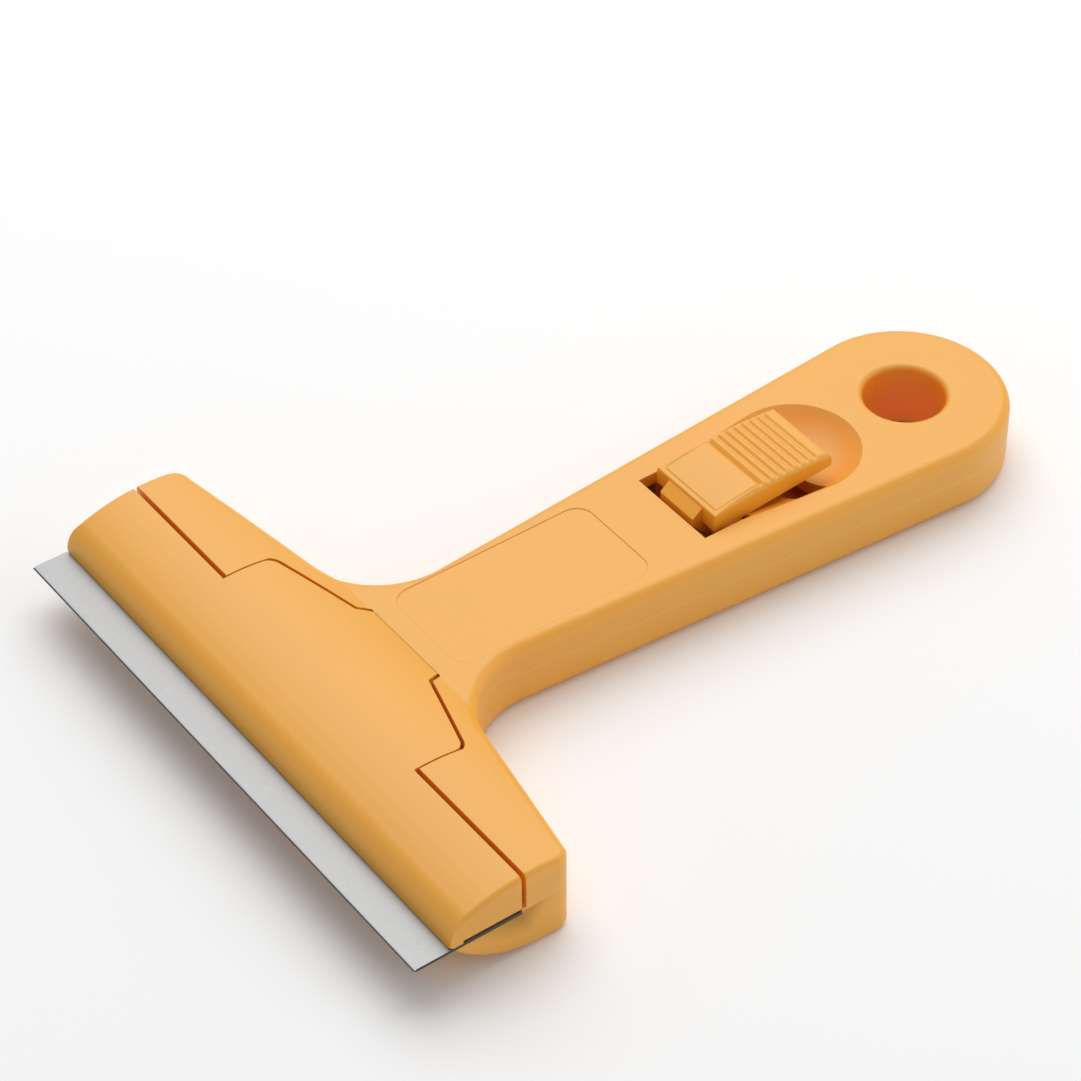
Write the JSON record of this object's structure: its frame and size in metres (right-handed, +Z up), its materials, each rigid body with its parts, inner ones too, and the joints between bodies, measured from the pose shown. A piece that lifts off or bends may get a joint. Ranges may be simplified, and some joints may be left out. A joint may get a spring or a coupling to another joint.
{
  "type": "razor blade scraper",
  "caption": "Wide hand scraper with a straight replaceable blade, held under a rocking clamp jaw that a flip lever in the tapered handle opens.",
  "frame": {"origin": "centre of the bounding box's bottom face, on the surface that the scraper lies on", "axes": "+X along the blade, +Y from the cutting edge to the hanging end, +Z up out of the lever's side"},
  "size_m": [0.1, 0.145, 0.0153],
  "materials": {
    "moulded_plastic": "fine satin moulding texture",
    "blade_steel": "rolled and ground, with a polished edge",
    "fixing_steel": "zinc plated"
  },
  "bodies": {
    "handle": {"upper_shell": "moulded_plastic", "lower_shell": "moulded_plastic", "shell_screws": "fixing_steel", "jaw_pin": "fixing_steel", "lever_pin": "fixing_steel"},
    "jaw": {"clamp_jaw": "moulded_plastic"},
    "lever": {"release_lever": "moulded_plastic"},
    "blade": {"blade": "blade_steel"}
  },
  "joints": [
    {"name": "lever_hinge", "type": "hinge", "parent": "handle", "child": "lever", "pos_m": [0, 0.01605, 0.0092], "axis": [1, 0, 0], "range_deg": [0, 50]},
    {"name": "jaw_hinge", "type": "hinge", "parent": "handle", "child": "jaw", "pos_m": [0, -0.0399, 0.01], "axis": [-1, 0, 0], "range_deg": [0, 3.38]},
    {"name": "blade_slide", "type": "slide", "parent": "handle", "child": "blade", "axis": [0, -1, 0], "range_m": [0, 0.02]}
  ],
  "couplings": [
    {"joint": "jaw_hinge", "follows": "lever_hinge", "ratio": 0.0675}
  ]
}
